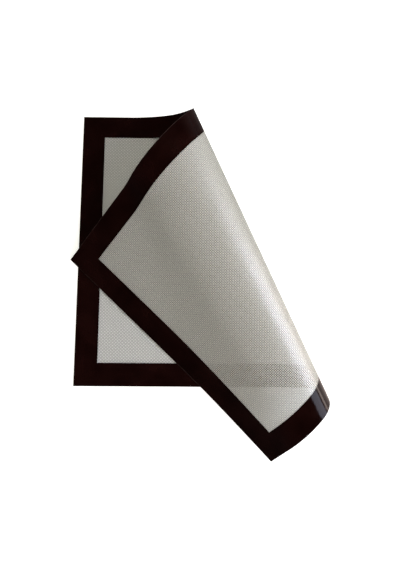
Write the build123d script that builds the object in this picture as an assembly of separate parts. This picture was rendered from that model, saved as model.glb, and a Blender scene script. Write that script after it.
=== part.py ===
from build123d import *
import os

# A silicone baking mat, laid flat on the left and rolled loosely over onto itself on the right.
#
# The flat mat lies in the X-Y plane with its length along X and its width along -Y, the underside at Z = 0.
# A fold is a row of rulings, the straight lines along which a sheet can bend without stretching. Every layer is
# built from the same rulings, each at its own height in the mat, so the layers stay bonded all the way round.

# Flat mat, millimetres
mat_length = 380.0
mat_width = 300.0
border_width = 24.5

# Layers, from the cloth outwards
cloth_thickness = 0.30
coat_under_border = 0.17
border_thickness = 0.08

# How the mat is rolled: where the first and last ruling of each bend cross the long edges, as shares of the
# length, and how far each bend turns, in degrees. The loop's own turn follows from where the flap lies down.
back_edge_ruling_shares = (0.137, 0.243, 0.520, 0.703, 0.742)
front_edge_ruling_shares = (0.623, 0.642, 0.802, 0.928, 1.208)
lift_turn = 17.0
droop_turn = 48.0
flare_turn = -18.0
loop_turn_least = 90.0
loop_turn_most = 200.0
runs_in_bend = (1, 4, 1, 1)
steps_in_run = 4
settling_steps = 30
edge_samples = 8

# Clearance under the flap's free edge
flap_clearance = 0.3

coat_thickness = coat_under_border + border_thickness
mat_thickness = cloth_thickness + 2 * coat_thickness
middle_height = mat_thickness / 2


class Ruling:
    """One straight line across the mat: where it crosses the two long edges, and where the fold puts it."""

    def __init__(self, back_edge, front_edge, place):
        self.back_edge = back_edge
        self.front_edge = front_edge
        self.place = place

    def along_at(self, across):
        """How far along the mat the ruling lies, at a distance across it."""
        return self.back_edge + (self.front_edge - self.back_edge) * across / mat_width

    def across_at(self, along):
        """How far across the mat the ruling lies, at a distance along it."""
        return (along - self.back_edge) * mat_width / (self.front_edge - self.back_edge)


class Region:
    """A rectangle of the flat mat, given by how far it stays inside the mat's edge."""

    def __init__(self, margin):
        self.left = margin
        self.right = mat_length - margin
        self.back = margin
        self.front = mat_width - margin
        self.corners_in_fold = ((self.left, self.back), (self.right, self.front))

    def upper_end(self, ruling):
        """Where a ruling enters the region from the back edge, or from the left one."""
        if ruling.along_at(self.back) >= self.left:
            return ruling.along_at(self.back), self.back
        return self.left, ruling.across_at(self.left)

    def lower_end(self, ruling):
        """Where a ruling leaves the region at the front edge, or at the right one."""
        if ruling.along_at(self.front) <= self.right:
            return ruling.along_at(self.front), self.front
        return self.right, ruling.across_at(self.right)

    def flat_outline(self, ruling, beyond):
        """The region's outline on one side of a ruling, from the ruling's upper end round to its lower end."""
        if beyond:
            walk = [(self.left, self.back), (self.right, self.back), (self.right, self.front)]
        else:
            walk = [(self.left, self.back), (self.left, self.front), (self.right, self.front)]
        corners = [spot for spot in walk if (spot[0] > ruling.along_at(spot[1])) == beyond]
        return [self.upper_end(ruling)] + corners + [self.lower_end(ruling)]


def flat_point(along, across, height):
    """A point of the flat mat."""
    return Vector(along, -across, height)


def folded_point(place, along, across, height):
    """The same point where the fold has put it."""
    return (place * Pos(flat_point(along, across, height))).position


def ruling_between(first, second, share, turn):
    """The ruling that lies a share of the way from one ruling to the next, which is turned by turn."""
    back_edge = first.back_edge + (second.back_edge - first.back_edge) * share
    front_edge = first.front_edge + (second.front_edge - first.front_edge) * share
    axis_start = flat_point((first.back_edge + back_edge) / 2, 0, middle_height)
    axis_end = flat_point((first.front_edge + front_edge) / 2, mat_width, middle_height)
    axis = Location(Plane(origin=axis_start, x_dir=axis_end - axis_start, z_dir=(0, 0, 1)))
    bend = axis * Rot(turn * share, 0, 0) * axis.inverse()
    return Ruling(back_edge, front_edge, first.place * bend)


def roll(loop_turn):
    """The rulings of the whole fold, with the turn from each one to the next, in degrees."""
    back_edges = [share * mat_length for share in back_edge_ruling_shares]
    front_edges = [share * mat_length for share in front_edge_ruling_shares]
    rulings = [Ruling(back_edges[0], front_edges[0], Location())]
    turns = []
    for bend, turn in enumerate((lift_turn, loop_turn, droop_turn, flare_turn)):
        steps = runs_in_bend[bend] * steps_in_run
        back_step = (back_edges[bend + 1] - back_edges[bend]) / steps
        front_step = (front_edges[bend + 1] - front_edges[bend]) / steps
        for _ in range(steps):
            here = rulings[-1]
            ahead = Ruling(here.back_edge + back_step, here.front_edge + front_step, None)
            rulings.append(ruling_between(here, ahead, 1, turn / steps))
            turns.append(turn / steps)
    return rulings, turns


def place_at(fold, along, across):
    """Where the fold puts the bit of mat round one flat point."""
    rulings, turns = fold
    if along <= rulings[0].along_at(across):
        return rulings[0].place
    for first, second, turn in zip(rulings, rulings[1:], turns):
        start = first.along_at(across)
        stop = second.along_at(across)
        if along < stop:
            return ruling_between(first, second, (along - start) / (stop - start), turn).place
    return rulings[-1].place


def free_edge_height(loop_turn):
    """How high the lowest point of the flap's free edge lies above the table, on its downward face."""
    fold = roll(loop_turn)
    heights = []
    for sample in range(edge_samples + 1):
        across = mat_width * sample / edge_samples
        place = place_at(fold, mat_length, across)
        heights.append(folded_point(place, mat_length, across, mat_thickness).Z)
    return min(heights)


def settled_loop_turn():
    """The loop's turn at which the flap's free edge has come down to just above the back."""
    least = loop_turn_least
    most = loop_turn_most
    for _ in range(settling_steps):
        middle = (least + most) / 2
        if free_edge_height(middle) > mat_thickness + flap_clearance:
            least = middle
        else:
            most = middle
    return least


loop_turn = settled_loop_turn()
fold_rulings, fold_turns = roll(loop_turn)


def runs_for(regions):
    """The fold's rulings in short runs, which also break where a ruling meets a corner of a region."""
    runs = [[fold_rulings[0]]]
    for step, (first, second, turn) in enumerate(zip(fold_rulings, fold_rulings[1:], fold_turns)):
        if step > 0 and step % steps_in_run == 0:
            runs.append([first])
        breaks = []
        for region in regions:
            for along, across in region.corners_in_fold:
                start = first.along_at(across)
                stop = second.along_at(across)
                if start < along < stop:
                    breaks.append((along - start) / (stop - start))
        for share in sorted(breaks):
            corner_ruling = ruling_between(first, second, share, turn)
            runs[-1].append(corner_ruling)
            runs.append([corner_ruling])
        runs[-1].append(second)
    return runs


def run_parameters(run):
    """How far along a run each ruling lies, from 0 to 1, the same for every curve and layer of the run."""
    middle = mat_width / 2
    distances = [ruling.along_at(middle) - run[0].along_at(middle) for ruling in run]
    return [distance / distances[-1] for distance in distances]


def rim(run, end_of, height):
    """The curve that one end of a run's rulings follows, at a height in the mat."""
    spots = [end_of(ruling) for ruling in run]
    points = [folded_point(ruling.place, *spot, height) for ruling, spot in zip(run, spots)]
    way = (flat_point(*spots[-1], 0) - flat_point(*spots[0], 0)).normalized()
    tangents = []
    for ruling in (run[0], run[-1]):
        tangents.append((ruling.place * Pos(way)).position - ruling.place.position)
    return Edge.make_spline(points, tangents=tangents, parameters=run_parameters(run))


def polygon(points):
    """A flat face through points."""
    return Face(Wire.make_polygon(points, close=True))


def sheet(outer, window, runs, height):
    """The faces of one surface of the rolled mat, over the outer region but not over the window."""
    faces = []
    for ruling, beyond in ((runs[0][0], False), (runs[-1][-1], True)):
        outline = outer.flat_outline(ruling, beyond)
        if window:
            outline += reversed(window.flat_outline(ruling, beyond))
        faces.append(polygon([folded_point(ruling.place, *spot, height) for spot in outline]))
    for run in runs:
        if window:
            strips = ((outer.upper_end, window.upper_end), (window.lower_end, outer.lower_end))
        else:
            strips = ((outer.upper_end, outer.lower_end),)
        for upper, lower in strips:
            faces.append(Face.make_surface_from_curves(rim(run, upper, height), rim(run, lower, height)))
    return faces


def wall(region, runs, low, high):
    """The faces that stand on a region's edge all round the rolled mat, between two heights."""
    faces = []
    for ruling, beyond in ((runs[0][0], False), (runs[-1][-1], True)):
        outline = region.flat_outline(ruling, beyond)
        for first, second in zip(outline, outline[1:]):
            faces.append(polygon([
                folded_point(ruling.place, *first, low),
                folded_point(ruling.place, *second, low),
                folded_point(ruling.place, *second, high),
                folded_point(ruling.place, *first, high),
            ]))
    for run in runs:
        for end_of in (region.upper_end, region.lower_end):
            faces.append(Face.make_surface_from_curves(rim(run, end_of, low), rim(run, end_of, high)))
    return faces


def whole_layer(low, high):
    """A layer that runs out to the mat's edge, between two heights in the mat."""
    faces = sheet(mat_edge, None, fold_runs, low) + sheet(mat_edge, None, fold_runs, high)
    return Solid(Shell(faces + wall(mat_edge, fold_runs, low, high)))


def border(low, high):
    """A band all round the mat, between two heights in it, that leaves the window open."""
    faces = sheet(mat_edge, window_edge, fold_runs, low) + sheet(mat_edge, window_edge, fold_runs, high)
    faces += wall(mat_edge, fold_runs, low, high) + wall(window_edge, fold_runs, low, high)
    return Solid(Shell(faces))


def coat(cloth_side, border_side, open_side):
    """A coat over the whole cloth, which rises to the border's open side in the window."""
    faces = sheet(mat_edge, None, fold_runs, cloth_side)
    faces += sheet(mat_edge, window_edge, fold_runs, border_side)
    faces += sheet(window_edge, None, fold_runs, open_side)
    faces += wall(mat_edge, fold_runs, cloth_side, border_side)
    faces += wall(window_edge, fold_runs, border_side, open_side)
    return Solid(Shell(faces))


mat_edge = Region(0)
window_edge = Region(border_width)
fold_runs = runs_for([mat_edge, window_edge])

under_cloth = coat_thickness
over_cloth = under_cloth + cloth_thickness

parts = {
    "glass_fibre_cloth": whole_layer(under_cloth, over_cloth),
    "upper_silicone_coat": coat(over_cloth, over_cloth + coat_under_border, mat_thickness),
    "under_silicone_coat": coat(under_cloth, under_cloth - coat_under_border, 0),
    "upper_border": border(over_cloth + coat_under_border, mat_thickness),
    "under_border": border(0, under_cloth - coat_under_border),
}

os.makedirs("parts", exist_ok=True)
footprint = Compound(list(parts.values())).bounding_box()
centred = Pos(-footprint.center().X, -footprint.center().Y, 0)
for name, piece in parts.items():
    placed = centred * piece
    export_step(placed, f"parts/{name}.step")
    print(name, "solids", len(placed.solids()), "volume", round(placed.volume, 1), "valid", placed.is_valid)
print("loop turn", round(loop_turn, 2))
print("footprint", footprint.size, "centre", footprint.center())
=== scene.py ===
import logging
import math
from dataclasses import dataclass, field, replace
from enum import Enum

import bmesh
import bpy
import numpy as np
from mathutils import Euler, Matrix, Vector


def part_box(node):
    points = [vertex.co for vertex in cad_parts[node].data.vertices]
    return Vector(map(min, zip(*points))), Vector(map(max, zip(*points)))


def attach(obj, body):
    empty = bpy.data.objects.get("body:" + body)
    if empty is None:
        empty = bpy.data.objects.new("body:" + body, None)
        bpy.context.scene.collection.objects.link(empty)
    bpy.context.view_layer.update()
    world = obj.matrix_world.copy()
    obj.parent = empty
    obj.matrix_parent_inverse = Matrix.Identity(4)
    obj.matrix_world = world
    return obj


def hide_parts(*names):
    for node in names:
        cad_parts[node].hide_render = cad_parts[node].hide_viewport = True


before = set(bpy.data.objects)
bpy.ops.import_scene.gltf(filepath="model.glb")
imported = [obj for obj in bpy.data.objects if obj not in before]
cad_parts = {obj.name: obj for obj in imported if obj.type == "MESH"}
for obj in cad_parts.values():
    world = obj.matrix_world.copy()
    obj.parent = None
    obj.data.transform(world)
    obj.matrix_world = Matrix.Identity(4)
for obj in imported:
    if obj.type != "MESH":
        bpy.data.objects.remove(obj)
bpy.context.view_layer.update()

logging.basicConfig(level=logging.INFO, format="%(name)s: %(message)s")
logger = logging.getLogger("baking_mat")

BODY = "root"
FLAT_MAP = "flat_mat"
RANDOM_SEED = 11

# How many clear gaps in the layers a line of sight may pass through
CLEAR_CROSSINGS = 24

# A Mix node's sockets when it mixes colours: the share and the two colours, and the result
MIX_COLOUR_INPUTS = (0, 6, 7)
MIX_COLOUR_OUTPUT = 2

Colour = tuple[float, float, float, float]
Span = tuple[float, float]


class Side(Enum):
    """The two faces of the mat as it lies flat: the food side is up and the tray side is under."""

    FOOD = "upper"
    TRAY = "under"


class Slot(Enum):
    """The record's material slots."""

    CLOTH = "glass_cloth"
    CLEAR = "clear_silicone"
    BORDER = "border_silicone"


@dataclass(frozen=True)
class MatSizes:
    """The flat mat, in metres. Heights run from the tray side's face."""

    length: float = 0.380
    width: float = 0.300
    border_width: float = 0.0245
    cloth: float = 0.00030
    coat_under_border: float = 0.00017
    border: float = 0.00008
    yarns_along: int = 191
    yarns_across: int = 152
    weave_relief: float = 0.00006

    @property
    def coat(self) -> float:
        """Thickness of a coat in the window."""
        return self.coat_under_border + self.border

    @property
    def thickness(self) -> float:
        """Thickness of the whole mat."""
        return self.cloth + 2 * self.coat

    @property
    def window_length(self) -> float:
        """Length of the window inside the border."""
        return self.length - 2 * self.border_width

    @property
    def window_width(self) -> float:
        """Width of the window inside the border."""
        return self.width - 2 * self.border_width

    @property
    def pitch_along(self) -> float:
        """From one crosswise yarn to the next."""
        return self.window_length / self.yarns_along

    @property
    def pitch_across(self) -> float:
        """From one lengthwise yarn to the next."""
        return self.window_width / self.yarns_across


def line_turns(start: np.ndarray, end: np.ndarray, angle: np.ndarray) -> np.ndarray:
    """Turns about lines in space.

    Args:
        start: Points on the lines, one row each.
        end: Further points on the lines.
        angle: Turns in radians.

    Returns:
        One 4 by 4 matrix for each line.
    """
    axis = (end - start) / np.linalg.norm(end - start, axis=1, keepdims=True)
    cross = np.zeros((len(axis), 3, 3))
    cross[:, 0, 1], cross[:, 0, 2] = -axis[:, 2], axis[:, 1]
    cross[:, 1, 0], cross[:, 1, 2] = axis[:, 2], -axis[:, 0]
    cross[:, 2, 0], cross[:, 2, 1] = -axis[:, 1], axis[:, 0]
    sine = np.sin(angle)[:, None, None]
    cosine = np.cos(angle)[:, None, None]
    turns = np.zeros((len(axis), 4, 4))
    turns[:, :3, :3] = np.eye(3) + sine * cross + (1 - cosine) * (cross @ cross)
    turns[:, :3, 3] = start - np.einsum("nij,nj->ni", turns[:, :3, :3], start)
    turns[:, 3, 3] = 1
    return turns


@dataclass
class Ruling:
    """A straight line that the mat bends about: where it meets the long edges, and where it is put."""

    back_edge: float
    front_edge: float
    place: np.ndarray

    def along_at(self, across: np.ndarray, width: float) -> np.ndarray:
        """How far along the mat the ruling lies, at distances across it."""
        return self.back_edge + (self.front_edge - self.back_edge) * across / width


@dataclass
class Fold:
    """The mat rolled loosely over: four bends, each about a fan of rulings.

    The bends' turns are given in degrees. The rulings' own turns are worked out in radians.
    """

    sizes: MatSizes
    back_edge_shares: tuple[float, ...] = (0.137, 0.243, 0.520, 0.703, 0.742)
    front_edge_shares: tuple[float, ...] = (0.623, 0.642, 0.802, 0.928, 1.208)
    lift_turn: float = 17.0
    droop_turn: float = 48.0
    flare_turn: float = -18.0
    loop_turn_range: Span = (90.0, 200.0)
    steps_in_bend: tuple[int, ...] = (4, 16, 4, 4)
    settling_steps: int = 30
    edge_samples: int = 8
    flap_clearance: float = 0.0003
    rulings: list[Ruling] = field(init=False)
    turns: list[float] = field(init=False)

    def __post_init__(self) -> None:
        """Lets the flap down until its free edge lies just above the back."""
        least, most = self.loop_turn_range
        across = np.linspace(0, self.sizes.width, self.edge_samples + 1)
        edge = np.column_stack([np.full_like(across, self.sizes.length), -across,
                                np.full_like(across, self.sizes.thickness)])
        for _ in range(self.settling_steps):
            middle = (least + most) / 2
            self._roll(middle)
            if self.carry(edge)[:, 2].min() > self.sizes.thickness + self.flap_clearance:
                least = middle
            else:
                most = middle
        self._roll(least)
        logger.info("the loop turns by %.2f degrees", least)

    def _roll(self, loop_turn: float) -> None:
        """Works out every ruling's place.

        Args:
            loop_turn: How far the loop turns, in degrees.
        """
        back = [share * self.sizes.length for share in self.back_edge_shares]
        front = [share * self.sizes.length for share in self.front_edge_shares]
        self.rulings = [Ruling(back[0], front[0], np.eye(4))]
        self.turns = []
        for bend, turn in enumerate((self.lift_turn, loop_turn, self.droop_turn, self.flare_turn)):
            steps = self.steps_in_bend[bend]
            for step in range(steps):
                here = self.rulings[-1]
                ahead = Ruling(here.back_edge + (back[bend + 1] - back[bend]) / steps,
                               here.front_edge + (front[bend + 1] - front[bend]) / steps, here.place)
                self.turns.append(math.radians(turn) / steps)
                ahead.place = here.place @ self._bends(here, ahead, np.ones(1), self.turns[-1])[0]
                self.rulings.append(ahead)

    def _bends(self, first: Ruling, second: Ruling, shares: np.ndarray, turn: float) -> np.ndarray:
        """The turns that carry the mat on from a ruling, by shares of the way to the next.

        Args:
            first: The ruling that the turns start from.
            second: The next ruling.
            shares: How far on each point lies, from 0 to 1.
            turn: The whole turn from the first ruling to the second, in radians.

        Returns:
            One 4 by 4 matrix for each share.
        """
        middle = np.full(len(shares), self.sizes.thickness / 2)
        back = first.back_edge + (second.back_edge - first.back_edge) * shares / 2
        front = first.front_edge + (second.front_edge - first.front_edge) * shares / 2
        start = np.column_stack([back, np.zeros_like(back), middle])
        end = np.column_stack([front, np.full_like(front, -self.sizes.width), middle])
        return line_turns(start, end, turn * shares)

    def carry(self, flat: np.ndarray) -> np.ndarray:
        """Carries points of the flat mat to where the fold puts them.

        Args:
            flat: Points of the flat mat, one row each: along it, minus across it, and the height in it.

        Returns:
            The same points on the rolled mat.
        """
        folded = flat.copy()
        along, across = flat[:, 0], -flat[:, 1]
        spots = np.column_stack([flat, np.ones(len(flat))])
        for first, second, turn in zip(self.rulings, self.rulings[1:], self.turns):
            start = first.along_at(across, self.sizes.width)
            stop = second.along_at(across, self.sizes.width)
            inside = (along > start) & (along <= stop)
            if inside.any():
                shares = (along[inside] - start[inside]) / (stop[inside] - start[inside])
                places = first.place @ self._bends(first, second, shares, turn)
                folded[inside] = np.einsum("nij,nj->ni", places, spots[inside])[:, :3]
        last = self.rulings[-1]
        beyond = along > last.along_at(across, self.sizes.width)
        folded[beyond] = (spots[beyond] @ last.place.T)[:, :3]
        return folded


@dataclass(frozen=True)
class GridLines:
    """The lines of a grid over the mat: a few across each border, and many across the window."""

    along: np.ndarray
    across: np.ndarray

    @staticmethod
    def _spread(span: float, border: float, border_cells: int, window_cells: int) -> np.ndarray:
        """Lines from 0 to span, evenly spaced in each border and in the window.

        Args:
            span: The mat's length or width.
            border: How wide a border is.
            border_cells: Cells across a border.
            window_cells: Cells across the window.

        Returns:
            The lines, in order.
        """
        return np.concatenate([
            np.linspace(0, border, border_cells, endpoint=False),
            np.linspace(border, span - border, window_cells, endpoint=False),
            np.linspace(span - border, span, border_cells + 1),
        ])

    @classmethod
    def over(cls, sizes: MatSizes, border_cells: int, cells_along: int, cells_across: int) -> "GridLines":
        """Lines over the whole mat.

        Args:
            sizes: The mat.
            border_cells: Cells across a border.
            cells_along: Cells along the window.
            cells_across: Cells across the window.

        Returns:
            The lines.
        """
        return cls(cls._spread(sizes.length, sizes.border_width, border_cells, cells_along),
                   cls._spread(sizes.width, sizes.border_width, border_cells, cells_across))


@dataclass(frozen=True)
class Blots:
    """Uneven patches in a finish: how big they are, in metres, and how finely they break up."""

    size: float
    detail: float


@dataclass
class Bench:
    """The node tree of a material or of the world, with short ways to add what it needs."""

    owner: bpy.types.Material | bpy.types.World
    tree: bpy.types.NodeTree = field(init=False)

    def __post_init__(self) -> None:
        """Starts with an empty tree."""
        self.owner.use_nodes = True
        self.tree = self.owner.node_tree
        self.tree.nodes.clear()

    @classmethod
    def material(cls, name: str) -> "Bench":
        """Starts a new material."""
        return cls(bpy.data.materials.new(name))

    def add(self, kind: str, inputs: dict | None = None, **settings: object) -> bpy.types.Node:
        """Adds a node.

        Args:
            kind: The node's type name, without the ShaderNode before it.
            inputs: Values or sockets for its inputs, by name or number.
            settings: The node's own settings.

        Returns:
            The new node.
        """
        node = self.tree.nodes.new("ShaderNode" + kind)
        for setting, value in settings.items():
            setattr(node, setting, value)
        for key, value in (inputs or {}).items():
            if isinstance(value, bpy.types.NodeSocket):
                self.tree.links.new(value, node.inputs[key])
            else:
                node.inputs[key].default_value = value
        return node

    def math(self, operation: str, *values: object) -> bpy.types.NodeSocket:
        """The result of a Math node."""
        return self.add("Math", dict(enumerate(values)), operation=operation).outputs[0]

    def fit(self, value: bpy.types.NodeSocket, span: Span, at_low: float,
            at_high: float) -> bpy.types.NodeSocket:
        """A value stretched from one range to another, and kept inside it.

        Args:
            value: The value.
            span: The range that it runs over.
            at_low: The result at the range's start.
            at_high: The result at the range's end.

        Returns:
            The stretched value.
        """
        low, high = span
        inputs = {"Value": value, "From Min": low, "From Max": high, "To Min": at_low, "To Max": at_high}
        return self.add("MapRange", inputs).outputs["Result"]

    def blend(self, share: object, first: object, second: object) -> bpy.types.NodeSocket:
        """A mix of two colours.

        Args:
            share: How much of the second colour there is.
            first: A colour or a socket.
            second: Another one.

        Returns:
            The mixed colour.
        """
        inputs = dict(zip(MIX_COLOUR_INPUTS, (share, first, second)))
        return self.add("Mix", inputs, data_type="RGBA").outputs[MIX_COLOUR_OUTPUT]

    def noise(self, place: bpy.types.NodeSocket, blots: Blots) -> bpy.types.NodeSocket:
        """Noise from 0 to 1 with blots of a size."""
        inputs = {"Vector": place, "Scale": 1 / blots.size, "Detail": blots.detail}
        return self.add("TexNoise", inputs).outputs["Fac"]

    def finish(self, surface: bpy.types.NodeSocket) -> bpy.types.Material | bpy.types.World:
        """Connects the surface to the output.

        Args:
            surface: What the surface or the background is made of.

        Returns:
            The material or world that the tree belongs to.
        """
        output = "OutputWorld" if isinstance(self.owner, bpy.types.World) else "OutputMaterial"
        self.add(output, {"Surface": surface})
        return self.owner


@dataclass(frozen=True)
class WovenNodes:
    """What a material needs of the weave: the spot on the flat mat, and how the yarns lie there."""

    spot: bpy.types.NodeSocket
    along: bpy.types.NodeSocket
    across: bpy.types.NodeSocket
    crossings: bpy.types.NodeSocket
    cover: bpy.types.NodeSocket
    height: bpy.types.NodeSocket
    twist: bpy.types.NodeSocket


@dataclass(frozen=True)
class Weave:
    """The plain weave as the mat's own map shows it, in step with the relief of the mesh."""

    sizes: MatSizes
    yarn_lines: float = 0.45
    twist_spacing: float = 0.00034
    twist_turns: Span = (-0.2, 0.2)

    def _wave(self, bench: Bench, distance: bpy.types.NodeSocket, pitch: float) -> bpy.types.NodeSocket:
        """A wave over the distance from an edge: 1 and -1 in turn on the yarns, and 0 between them."""
        yarns = bench.math("SUBTRACT", distance, self.sizes.border_width)
        return bench.math("COSINE", bench.math("MULTIPLY", yarns, math.pi / pitch))

    def _twist(self, bench: Bench, along: bpy.types.NodeSocket, across: bpy.types.NodeSocket,
               crossings: bpy.types.NodeSocket) -> bpy.types.NodeSocket:
        """The slant of the filaments, which turns with the yarn that lies over.

        Args:
            bench: The material.
            along: How far along the flat mat the spot is.
            across: How far across it.
            crossings: Which yarn lies over there.

        Returns:
            A fine wave across the filaments.
        """
        beat = 2 * math.pi / self.twist_spacing
        long_slant = bench.math("MULTIPLY", bench.math("ADD", across, along), beat)
        cross_slant = bench.math("MULTIPLY", bench.math("SUBTRACT", along, across), beat)
        long_over = bench.fit(crossings, self.twist_turns, 0.0, 1.0)
        cross_over = bench.math("SUBTRACT", 1.0, long_over)
        return bench.math("ADD", bench.math("MULTIPLY", bench.math("SINE", long_slant), long_over),
                          bench.math("MULTIPLY", bench.math("SINE", cross_slant), cross_over))

    def nodes(self, bench: Bench, side: Side) -> WovenNodes:
        """Adds the weave to a material.

        Args:
            bench: The material.
            side: The side of the mat whose face the material covers. Where a yarn stands up on one
                side, it dips on the other.

        Returns:
            The spot, the crossings (1 where a yarn crown stands up, -1 where one dips), how well yarns cover
            the spot, the height of their tops and the slant of their filaments.
        """
        flat = bench.add("UVMap", uv_map=FLAT_MAP).outputs["UV"]
        spot = bench.add("Mapping", {"Vector": flat, "Scale": (self.sizes.length, self.sizes.width, 1.0)})
        split = bench.add("SeparateXYZ", {"Vector": spot.outputs["Vector"]})
        along, across = split.outputs["X"], split.outputs["Y"]
        crosswise = self._wave(bench, along, self.sizes.pitch_along)
        lengthwise = self._wave(bench, across, self.sizes.pitch_across)
        over = bench.math("MULTIPLY", lengthwise, 1.0 if side is Side.FOOD else -1.0)
        crossings = bench.math("MULTIPLY", over, crosswise)
        cover = bench.math("MAXIMUM", bench.math("ABSOLUTE", lengthwise), bench.math("ABSOLUTE", crosswise))
        height = bench.math("ADD", crossings, bench.math("MULTIPLY", cover, self.yarn_lines))
        return WovenNodes(spot.outputs["Vector"], along, across, crossings, cover, height,
                          self._twist(bench, along, across, crossings))


@dataclass(frozen=True)
class ClearSilicone:
    """Cured clear silicone over the cloth: milky, satin, with the weave standing through it."""

    weave: Weave
    name: str
    side: Side
    food_milky: Colour = (0.915, 0.92, 0.86, 1.0)
    food_cloudy: Colour = (0.903, 0.907, 0.846, 1.0)
    tray_milky: Colour = (0.952, 0.897, 0.745, 1.0)
    tray_cloudy: Colour = (0.940, 0.885, 0.732, 1.0)
    # Painted shade: darker colours laid where a yarn dips, standing in for shade in the weave's hollows.
    food_dip_shade: Colour = (0.30, 0.297, 0.285, 1.0)
    tray_dip_shade: Colour = (0.56, 0.53, 0.455, 1.0)
    through: Colour = (0.95, 0.92, 0.83, 1.0)
    dip_shade_crossings: Span = (-0.9, 0.3)
    yarn_cover: Span = (0.86, 0.98)
    solid_yarn: float = 0.84
    solid_gap: float = 0.0
    through_share: float = 0.10
    clouds: Blots = Blots(size=0.06, detail=3.0)
    cloud_span: Span = (0.35, 0.65)
    wipes: Blots = Blots(size=0.018, detail=4.0)
    wipe_span: Span = (0.35, 0.70)
    smooth: float = 0.29
    dull: float = 0.34
    grain: Blots = Blots(size=0.0006, detail=2.0)
    grain_share: float = 0.08
    twist_share: float = 0.03
    refraction: float = 1.50
    gloss_refraction: float = 2.40
    gloss_roughness: float = 0.36
    yarn_height: float = 0.00048
    gloss_height: float = 0.00004

    def _colour(self, bench: Bench, woven: WovenNodes) -> bpy.types.NodeSocket:
        """The coat's colour: cloudy in patches, with painted shade where a yarn dips.

        Args:
            bench: The material.
            woven: The weave in it.

        Returns:
            The colour.
        """
        if self.side is Side.FOOD:
            milky, cloudy, hollow = self.food_milky, self.food_cloudy, self.food_dip_shade
        else:
            milky, cloudy, hollow = self.tray_milky, self.tray_cloudy, self.tray_dip_shade
        clouds = bench.fit(bench.noise(woven.spot, self.clouds), self.cloud_span, 0.0, 1.0)
        # Painted shade: the colour darkens towards the hollow shade where a yarn dips.
        dips = bench.fit(woven.crossings, self.dip_shade_crossings, 1.0, 0.0)
        return bench.blend(dips, bench.blend(clouds, milky, cloudy), hollow)

    def _height(self, bench: Bench, woven: WovenNodes) -> bpy.types.NodeSocket:
        """The height of the coat over the weave, as a share of the bump's depth.

        Args:
            bench: The material.
            woven: The weave in it.

        Returns:
            The height.
        """
        twist = bench.math("MULTIPLY", woven.twist, self.twist_share)
        grain = bench.math("MULTIPLY", bench.noise(woven.spot, self.grain), self.grain_share)
        return bench.math("ADD", woven.height, bench.math("ADD", twist, grain))

    def material(self) -> bpy.types.Material:
        """Builds the material, solid on the yarns and clear in the gaps.

        Returns:
            The material.
        """
        bench = Bench.material(self.name)
        woven = self.weave.nodes(bench, self.side)
        solid = bench.fit(woven.cover, self.yarn_cover, self.solid_gap, self.solid_yarn)
        rough = bench.fit(bench.noise(woven.spot, self.wipes), self.wipe_span, self.smooth, self.dull)
        height = self._height(bench, woven)
        bump = bench.add("Bump", {"Height": height, "Strength": 1.0, "Distance": self.yarn_height})
        light_bump = bench.add("Bump", {"Height": height, "Strength": 1.0, "Distance": self.gloss_height})
        skin = bench.add("BsdfPrincipled", {
            "Base Color": self._colour(bench, woven), "Roughness": rough, "Alpha": solid,
            "Normal": bump.outputs["Normal"], "IOR": self.refraction, "Specular IOR Level": 1.0,
            "Coat Weight": 1.0, "Coat Roughness": self.gloss_roughness, "Coat IOR": self.gloss_refraction,
            "Coat Normal": light_bump.outputs["Normal"],
        }).outputs["BSDF"]
        glow = bench.add("BsdfTranslucent", {"Color": self.through}).outputs["BSDF"]
        both = bench.add("MixShader", {0: self.through_share, 1: skin, 2: glow})
        return bench.finish(both.outputs["Shader"])


@dataclass(frozen=True)
class GlassCloth:
    """Plain-woven glass yarn soaked with silicone: off-white, thin enough to see light and dark through."""

    weave: Weave
    name: str = "glass_cloth"
    yarn: Colour = (0.70, 0.69, 0.65, 1.0)
    gap: Colour = (0.42, 0.41, 0.38, 1.0)
    yarn_cover: Span = (0.50, 0.90)
    patches: Blots = Blots(size=0.01, detail=3.0)
    patch_span: Span = (0.40, 0.70)
    patch_depth: float = 0.2
    filament_relief: float = 0.3
    filament_height: float = 0.00005
    solidity: float = 0.03
    roughness: float = 0.7

    def material(self) -> bpy.types.Material:
        """Builds the material, with patches where the yarns are soaked deeper.

        Returns:
            The material.
        """
        bench = Bench.material(self.name)
        woven = self.weave.nodes(bench, Side.FOOD)
        colour = bench.blend(bench.fit(woven.cover, self.yarn_cover, 0.0, 1.0), self.gap, self.yarn)
        soaked = bench.fit(bench.noise(woven.spot, self.patches), self.patch_span, 0.0, self.patch_depth)
        filaments = bench.add("Bump", {
            "Height": woven.twist, "Strength": self.filament_relief, "Distance": self.filament_height,
        })
        cloth = bench.add("BsdfPrincipled", {
            "Base Color": bench.blend(soaked, colour, self.gap), "Roughness": self.roughness,
            "Normal": filaments.outputs["Normal"], "Alpha": self.solidity,
        })
        return bench.finish(cloth.outputs["BSDF"])


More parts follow.
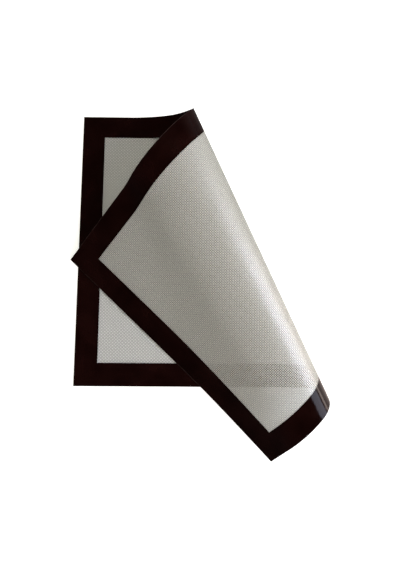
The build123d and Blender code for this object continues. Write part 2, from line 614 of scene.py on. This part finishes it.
@dataclass(frozen=True)
class BorderSilicone:
    """The pigmented border: near-black brown, glossy, with faint weave and wiping marks in it."""

    weave: Weave
    name: str = "border_silicone"
    deep: Colour = (0.0050, 0.0011, 0.0008, 1.0)
    brown: Colour = (0.0100, 0.0026, 0.0020, 1.0)
    # Painted highlight: a lighter brown laid along the cut edge, where the edge catches the light.
    edge_highlight: Colour = (0.050, 0.036, 0.032, 1.0)
    clouds: Blots = Blots(size=0.03, detail=4.0)
    cloud_span: Span = (0.35, 0.65)
    wipes: Blots = Blots(size=0.006, detail=5.0)
    wipe_span: Span = (0.30, 0.75)
    gloss: float = 0.08
    dull: float = 0.18
    refraction: float = 1.25
    shine: float = 0.5
    highlight_width: float = 0.0006
    highlight_span: Span = (0.35, 0.60)
    least_highlight: float = 0.2
    most_highlight: float = 0.9
    weave_share: float = 0.12
    ripple: Blots = Blots(size=0.004, detail=2.0)
    relief: float = 0.35
    relief_height: float = 0.00012

    def _edge_highlight(self, bench: Bench, along: bpy.types.NodeSocket,
                   across: bpy.types.NodeSocket) -> bpy.types.NodeSocket:
        """1 at the mat's cut edge, falling to 0 a little way in: where the painted edge highlight lies.

        Args:
            bench: The material.
            along: How far along the flat mat the spot is.
            across: How far across it.

        Returns:
            The wear.
        """
        sizes = self.weave.sizes
        near_end = bench.math("MINIMUM", along, bench.math("SUBTRACT", sizes.length, along))
        near_side = bench.math("MINIMUM", across, bench.math("SUBTRACT", sizes.width, across))
        nearest = bench.math("MINIMUM", near_end, near_side)
        return bench.fit(nearest, (0.0, self.highlight_width), 1.0, 0.0)

    def material(self) -> bpy.types.Material:
        """Builds the material, with a painted highlight along the cut edge.

        Returns:
            The material.
        """
        bench = Bench.material(self.name)
        woven = self.weave.nodes(bench, Side.FOOD)
        clouds = bench.fit(bench.noise(woven.spot, self.clouds), self.cloud_span, 0.0, 1.0)
        wipes = bench.noise(woven.spot, self.wipes)
        colour = bench.blend(clouds, self.deep, self.brown)
        # Painted highlight along the cut edge, patchy with the wiping marks.
        highlighted = bench.math("MULTIPLY", self._edge_highlight(bench, woven.along, woven.across),
                             bench.fit(wipes, self.highlight_span, self.least_highlight, self.most_highlight))
        weave = bench.math("MULTIPLY", woven.height, self.weave_share)
        height = bench.math("ADD", weave, bench.noise(woven.spot, self.ripple))
        bump = bench.add("Bump", {
            "Height": height, "Strength": self.relief, "Distance": self.relief_height,
        })
        skin = bench.add("BsdfPrincipled", {
            "Base Color": bench.blend(highlighted, colour, self.edge_highlight), "Normal": bump.outputs["Normal"],
            "Roughness": bench.fit(wipes, self.wipe_span, self.gloss, self.dull),
            "IOR": self.refraction, "Specular IOR Level": self.shine,
        })
        return bench.finish(skin.outputs["BSDF"])


@dataclass
class Layer:
    """One bonded layer of the mat. It is made flat and then rolled with the rest. Angles are in radians."""

    sizes: MatSizes
    fold: Fold
    centre: Vector
    material: bpy.types.Material
    name: str
    node: str
    slot: Slot
    sharp_from: float = 0.6

    def shape(self, mesh: bmesh.types.BMesh) -> None:
        """Makes the flat layer in a mesh."""
        raise NotImplementedError

    def _grid(self, mesh: bmesh.types.BMesh, lines: GridLines, height: float) -> None:
        """Adds a grid over the whole mat.

        Args:
            mesh: The mesh to add to.
            lines: Where the grid's lines lie.
            height: The grid's height in the mat.
        """
        half = 0.5
        cells_along, cells_across = len(lines.along) - 1, len(lines.across) - 1
        bmesh.ops.create_grid(mesh, x_segments=cells_along, y_segments=cells_across, size=half)
        for vert in mesh.verts:
            column = round((vert.co.x + half) * cells_along)
            row = round((half - vert.co.y) * cells_across)
            vert.co = (lines.along[column], -lines.across[row], height)

    def _window_faces(self, mesh: bmesh.types.BMesh) -> list[bmesh.types.BMFace]:
        """The faces that lie inside the border.

        Args:
            mesh: The layer's flat mesh.

        Returns:
            The faces.
        """
        sizes, faces = self.sizes, []
        for face in mesh.faces:
            middle = face.calc_center_median()
            inside_ends = sizes.border_width < middle.x < sizes.length - sizes.border_width
            if inside_ends and sizes.border_width < -middle.y < sizes.width - sizes.border_width:
                faces.append(face)
        return faces

    def _thicken(self, mesh: bmesh.types.BMesh, thickness: float) -> None:
        """Makes a closed layer out of a flat sheet of faces, upwards.

        Args:
            mesh: The mesh, which holds the sheet alone.
            thickness: How thick the layer gets.
        """
        grown = bmesh.ops.extrude_face_region(mesh, geom=mesh.faces[:], use_keep_orig=True)
        risen = [item for item in grown["geom"] if isinstance(item, bmesh.types.BMVert)]
        bmesh.ops.translate(mesh, verts=risen, vec=(0, 0, thickness))
        bmesh.ops.recalc_face_normals(mesh, faces=mesh.faces[:])

    def _turn_over(self, mesh: bmesh.types.BMesh) -> None:
        """Puts a layer of the food side on the tray side.

        Args:
            mesh: The layer's flat mesh.
        """
        for vert in mesh.verts:
            vert.co.z = self.sizes.thickness - vert.co.z
        bmesh.ops.reverse_faces(mesh, faces=mesh.faces[:])

    def _map(self, mesh: bmesh.types.BMesh) -> None:
        """Writes each corner's spot on the flat mat into the layer's map, as shares of length and width.

        Args:
            mesh: The layer's flat mesh.
        """
        flat_map = mesh.loops.layers.uv.new(FLAT_MAP)
        for face in mesh.faces:
            for loop in face.loops:
                spot = loop.vert.co
                loop[flat_map].uv = (spot.x / self.sizes.length, -spot.y / self.sizes.width)

    def _sharpen(self, mesh: bmesh.types.BMesh) -> None:
        """Keeps the cut edges and steps crisp under smooth shading.

        Args:
            mesh: The layer's flat mesh.
        """
        for face in mesh.faces:
            face.smooth = True
        for edge in mesh.edges:
            edge.smooth = len(edge.link_faces) < 2 or edge.calc_face_angle(0.0) < self.sharp_from

    def build(self) -> bpy.types.Object:
        """Makes, rolls and dresses the layer.

        Returns:
            The finished piece, riding on the mat's body.
        """
        mesh = bmesh.new()
        self.shape(mesh)
        self._map(mesh)
        self._sharpen(mesh)
        flat = np.array([vert.co[:] for vert in mesh.verts])
        rolled = self.fold.carry(flat) + np.array(self.centre)
        for vert, spot in zip(mesh.verts, rolled):
            vert.co = spot
        data = bpy.data.meshes.new(self.name)
        mesh.to_mesh(data)
        mesh.free()
        data.materials.append(self.material)
        piece = bpy.data.objects.new(self.name, data)
        bpy.context.scene.collection.objects.link(piece)
        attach(piece, BODY)
        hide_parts(self.node)
        logger.info("%s: %d faces", self.name, len(data.polygons))
        return piece


@dataclass
class WovenCore(Layer):
    """The glass-fibre cloth in the middle of the mat, from cut edge to cut edge."""

    border_cells: int = 10
    cell: float = 0.0024

    def shape(self, mesh: bmesh.types.BMesh) -> None:
        """Makes a closed sheet between the two coats."""
        self._grid(mesh, self.lines(self.sizes), self.sizes.coat)
        self._thicken(mesh, self.sizes.cloth)

    @classmethod
    def lines(cls, sizes: MatSizes) -> GridLines:
        """The lines of the sheet's grid, for a mat of these sizes."""
        return GridLines.over(sizes, cls.border_cells, round(sizes.window_length / cls.cell),
                              round(sizes.window_width / cls.cell))


@dataclass
class SiliconeCoat(Layer):
    """A clear coat on one side of the cloth, sunk under the border and raised in the window."""

    side: Side = Side.FOOD
    border_cells: int = 4
    sunk: float = 0.00002
    uneven_relief: float = 0.15
    low_crossings: float = 0.2
    rounding: float = 0.25

    def shape(self, mesh: bmesh.types.BMesh) -> None:
        """Makes the coat's open side with the weave's relief, and its cut edge down to the cloth.

        Args:
            mesh: An empty mesh.
        """
        sizes = self.sizes
        cloth_face = sizes.coat + sizes.cloth
        lines = GridLines.over(sizes, self.border_cells, sizes.yarns_along, sizes.yarns_across)
        self._grid(mesh, lines, cloth_face + sizes.coat_under_border - self.sunk)
        rim = [edge for edge in mesh.edges if edge.is_boundary]
        skirt = bmesh.ops.extrude_edge_only(mesh, edges=rim)["geom"]
        for vert in skirt:
            if isinstance(vert, bmesh.types.BMVert):
                vert.co.z = cloth_face
        raised = bmesh.ops.extrude_face_region(mesh, geom=self._window_faces(mesh))["geom"]
        self._weave(mesh, [item for item in raised if isinstance(item, bmesh.types.BMFace)])
        if self.side is Side.TRAY:
            self._turn_over(mesh)

    def _weave(self, mesh: bmesh.types.BMesh, window: list[bmesh.types.BMFace]) -> None:
        """Lifts the window to the coat's open side: crowns on the crossings and hollows between the yarns.

        A hollow takes the depth of the yarns that it follows. Every second crossing is a little lower. The
        rounding is less than half a pitch, so that a crossing or a hollow always finds its own yarns.

        Args:
            mesh: The coat's mesh.
            window: The faces of the raised window, one between four crossings.
        """
        sizes = self.sizes
        dice = np.random.default_rng(RANDOM_SEED)
        depth_along = 1 + self.uneven_relief * dice.standard_normal(sizes.yarns_along + 1)
        depth_across = 1 + self.uneven_relief * dice.standard_normal(sizes.yarns_across + 1)
        crowns = {vert for face in window for vert in face.verts}
        hollows = bmesh.ops.poke(mesh, faces=window)["verts"]
        for vert in (*crowns, *hollows):
            column = (vert.co.x - sizes.border_width) / sizes.pitch_along
            row = (-vert.co.y - sizes.border_width) / sizes.pitch_across
            depth = depth_along[int(column + self.rounding)] * depth_across[int(row + self.rounding)]
            if vert in crowns:
                odd = (round(column) + round(row)) % 2
                depth *= self.low_crossings * odd
            vert.co.z = sizes.thickness - sizes.weave_relief * max(depth, 0.0)


@dataclass
class PrintedBorder(Layer):
    """The dark band round one side of the mat, set flush into the coat."""

    side: Side = Side.FOOD
    border_cells: int = 8

    def shape(self, mesh: bmesh.types.BMesh) -> None:
        """Makes a closed band with the window left open.

        Args:
            mesh: An empty mesh.
        """
        sizes = self.sizes
        lines = GridLines.over(sizes, self.border_cells, sizes.yarns_along, sizes.yarns_across)
        self._grid(mesh, lines, sizes.thickness - sizes.border)
        bmesh.ops.delete(mesh, geom=self._window_faces(mesh), context="FACES")
        self._thicken(mesh, sizes.border)
        if self.side is Side.TRAY:
            self._turn_over(mesh)


@dataclass
class BakingMat:
    """The whole mat: the woven core, a coat and a border on each side."""

    sizes: MatSizes = field(default_factory=MatSizes)

    def _centre(self, fold: Fold) -> Vector:
        """Where the flat mat's corner lies in the part's frame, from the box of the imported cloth.

        Args:
            fold: The fold that the cloth is rolled by.

        Returns:
            The corner's place.
        """
        sizes = self.sizes
        lines = WovenCore.lines(sizes)
        along, across = np.meshgrid(lines.along, lines.across)
        corners = []
        for height in (sizes.coat, sizes.coat + sizes.cloth):
            flat = np.column_stack([along.ravel(), -across.ravel(), np.full(along.size, height)])
            rolled = fold.carry(flat)
            corners += [rolled.min(axis=0), rolled.max(axis=0)]
        middle = (np.min(corners, axis=0) + np.max(corners, axis=0)) / 2
        low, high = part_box("glass_fibre_cloth")
        packed = (Vector(low) + Vector(high)) / 2
        return Vector((packed.x - middle[0], packed.y - middle[1], 0.0))

    def build(self) -> list[bpy.types.Object]:
        """Builds the mat.

        Returns:
            Its pieces, the woven core first.
        """
        fold = Fold(self.sizes)
        centre = self._centre(fold)
        weave = Weave(self.sizes)
        shared = {"sizes": self.sizes, "fold": fold, "centre": centre}
        core = WovenCore(material=GlassCloth(weave).material(), name="woven_core", node="glass_fibre_cloth",
                         slot=Slot.CLOTH, **shared).build()
        pieces = [core]
        border_finish = BorderSilicone(weave).material()
        for side in Side:
            coat_finish = ClearSilicone(weave, f"clear_silicone_{side.value}", side).material()
            pieces.append(SiliconeCoat(material=coat_finish, name=f"{side.value}_clear_coat",
                                       node=f"{side.value}_silicone_coat", slot=Slot.CLEAR, side=side,
                                       **shared).build())
            pieces.append(PrintedBorder(material=border_finish, name=f"{side.value}_dark_border",
                                        node=f"{side.value}_border", slot=Slot.BORDER, side=side,
                                        **shared).build())
        return pieces


@dataclass(frozen=True)
class StudioLamp:
    """A flat lamp that faces the mat, given by its direction in degrees as seen from the mat."""

    name: str
    azimuth: float
    elevation: float
    distance: float
    width: float
    height: float
    radiance: float
    colour: tuple[float, float, float]
    in_gloss: bool = True
    in_diffuse: bool = True

    def place(self) -> bpy.types.Object:
        """Hangs the lamp with its long side level.

        Returns:
            The lamp.
        """
        lamp = bpy.data.lights.new(self.name, "AREA")
        lamp.shape = "RECTANGLE"
        lamp.size, lamp.size_y = self.width, self.height
        lamp.energy = self.radiance * math.pi * self.width * self.height
        lamp.color = self.colour
        holder = bpy.data.objects.new(self.name, lamp)
        turn, rise = math.radians(self.azimuth), math.radians(self.elevation)
        away = Vector((math.cos(rise) * math.cos(turn), math.cos(rise) * math.sin(turn), math.sin(rise)))
        holder.location = away * self.distance
        holder.rotation_euler = away.to_track_quat("Z", "Y").to_euler()
        holder.visible_camera = False
        holder.visible_glossy, holder.visible_diffuse = self.in_gloss, self.in_diffuse
        bpy.context.scene.collection.objects.link(holder)
        return holder


@dataclass(frozen=True)
class Studio:
    """A pale table in a white studio: windows, a ceiling lamp, a warm card low on the right, dim fill."""

    table_size: float = 6.0
    table_roughness: float = 0.9
    table_shine: float = 0.1
    table_white: Colour = (0.80, 0.79, 0.75, 1.0)
    # Painted reflection: reflections of the table show it tan and glowing in front, and painted dark behind
    # as painted shade.
    mirrored_tan_glow: Colour = (0.78, 0.64, 0.56, 1.0)
    mirrored_dark_shade: Colour = (0.10, 0.08, 0.075, 1.0)
    tan_fades: Span = (-0.05, 0.12)
    table_lift: float = 0.80
    far_lift: float = 1.40
    lift_grows: Span = (0.50, 1.00)
    mirrored_glow: float = 0.40
    background: Colour = (1.0, 1.0, 1.0, 1.0)
    fill: Colour = (0.98, 0.98, 1.0, 1.0)
    fill_level: float = 0.30
    fill_overhead: float = 0.01
    ceiling_starts: float = 0.70
    dark_side: float = 0.25
    side_reach: float = 0.40

    def _table(self) -> bpy.types.Object:
        """The table top, which the camera sees as white apart from the mat's shadow.

        In reflections it glows tan in front, a painted reflection, and is painted dark behind, painted
        shade. Far from the mat the camera sees plain white.

        Returns:
            The table top.
        """
        mesh = bmesh.new()
        bmesh.ops.create_grid(mesh, x_segments=1, y_segments=1, size=self.table_size / 2)
        data = bpy.data.meshes.new("table_top")
        mesh.to_mesh(data)
        mesh.free()
        bench = Bench.material("table_top")
        rays = bench.add("LightPath").outputs
        bare = bench.math("SUBTRACT", 1.0, bench.math("MINIMUM", rays["Transparent Depth"], 1.0))
        camera = bench.math("MULTIPLY", rays["Is Camera Ray"], bare)
        spot = bench.add("TexCoord").outputs["Object"]
        place = bench.add("SeparateXYZ", {"Vector": spot})
        away = bench.add("VectorMath", {0: spot}, operation="LENGTH").outputs["Value"]
        seen_lift = bench.fit(away, self.lift_grows, self.table_lift, self.far_lift)
        # Painted shade in reflections: the mirrored table turns dark behind the mat.
        behind = bench.fit(place.outputs["Y"], self.tan_fades, 0.0, 1.0)
        tan = bench.blend(behind, self.mirrored_tan_glow, self.mirrored_dark_shade)
        # Painted reflection: the table glows in reflections though it is no lamp.
        mirrored = bench.math("MULTIPLY", rays["Is Glossy Ray"], self.mirrored_glow)
        lift = bench.math("ADD", bench.math("MULTIPLY", camera, seen_lift), mirrored)
        surface = bench.add("BsdfPrincipled", {
            "Base Color": bench.blend(rays["Is Glossy Ray"], self.table_white, tan),
            "Roughness": self.table_roughness, "Specular IOR Level": self.table_shine,
            "Emission Color": bench.blend(camera, tan, self.table_white), "Emission Strength": lift,
        })
        data.materials.append(bench.finish(surface.outputs["BSDF"]))
        table = bpy.data.objects.new("table_top", data)
        bpy.context.scene.collection.objects.link(table)
        return table

    def _room(self) -> None:
        """Lights the room with dim fill, and makes it white where the camera looks past the table."""
        bench = Bench(bpy.data.worlds.new("studio"))
        direction = bench.add("SeparateXYZ", {"Vector": bench.add("TexCoord").outputs["Generated"]}).outputs
        level = bench.fit(direction["Z"], (0.0, self.ceiling_starts), self.fill_level, self.fill_overhead)
        side = bench.fit(direction["X"], (-self.side_reach, self.side_reach), self.dark_side, 1.0)
        strength = bench.math("MULTIPLY", level, side)
        fill = bench.add("Background", {"Color": self.fill, "Strength": strength}).outputs["Background"]
        white = bench.add("Background", {"Color": self.background}).outputs["Background"]
        camera = bench.add("LightPath").outputs["Is Camera Ray"]
        both = bench.add("MixShader", {0: camera, 1: fill, 2: white})
        bpy.context.scene.world = bench.finish(both.outputs["Shader"])

    def build(self) -> None:
        """Sets up the table, the room and the lamps."""
        self._table()
        self._room()
        window = StudioLamp("window", azimuth=1.0, elevation=36.4, distance=1.2, width=0.96, height=0.68,
                            radiance=6.4, colour=(0.80, 0.83, 1.0))
        lamps = (
            window,
            replace(window, name="window_glint", radiance=6.8, colour=(0.78, 0.84, 0.99), in_diffuse=False),
            StudioLamp("warm_sill", azimuth=3.0, elevation=8.0, distance=1.3, width=1.32, height=0.25,
                       radiance=7.8, colour=(1.0, 0.85, 0.76), in_diffuse=False),
            StudioLamp("warm_bounce", azimuth=5.0, elevation=10.0, distance=1.3, width=2.0, height=0.34,
                       radiance=1.5, colour=(0.74, 1.0, 0.76), in_gloss=False),
            StudioLamp("front_window", azimuth=-58.0, elevation=24.0, distance=1.8, width=1.05, height=0.75,
                       radiance=10.0, colour=(0.84, 0.88, 0.96), in_gloss=False),
            StudioLamp("far_window", azimuth=85.0, elevation=40.0, distance=1.2, width=0.8, height=0.4,
                       radiance=1.8, colour=(0.92, 0.96, 1.0), in_gloss=False),
            StudioLamp("ceiling", azimuth=60.0, elevation=75.0, distance=1.3, width=1.0, height=0.8,
                       radiance=2.7, colour=(1.0, 0.97, 0.88), in_gloss=False),
        )
        for lamp in lamps:
            lamp.place()


@dataclass(frozen=True)
class Viewpoint:
    """The camera, nearly straight above the mat. Angles are in degrees."""

    place: tuple[float, float, float] = (0.0016, -0.0571, 0.4550)
    tilt: tuple[float, float, float] = (6.59, -0.57, 0.41)
    focal_pixels: float = 420.14
    frame_height: float = 570.0
    sensor: float = 36.0
    nearest: float = 0.01

    def build(self) -> None:
        """Sets up the camera."""
        camera = bpy.data.cameras.new("viewpoint")
        camera.sensor_fit = "AUTO"
        camera.sensor_width = self.sensor
        camera.lens = self.focal_pixels / self.frame_height * self.sensor
        camera.clip_start = self.nearest
        holder = bpy.data.objects.new("viewpoint", camera)
        holder.location = self.place
        holder.rotation_euler = Euler([math.radians(angle) for angle in self.tilt], "XYZ")
        bpy.context.scene.collection.objects.link(holder)
        bpy.context.scene.camera = holder


def main() -> None:
    """Builds the studio, the camera and the mat."""
    bpy.context.scene.view_settings.view_transform = "Standard"
    bpy.context.scene.cycles.transparent_max_bounces = CLEAR_CROSSINGS
    Studio().build()
    Viewpoint().build()
    for piece in BakingMat().build():
        logger.info("built %s", piece.name)


if __name__ == "__main__":
    main()
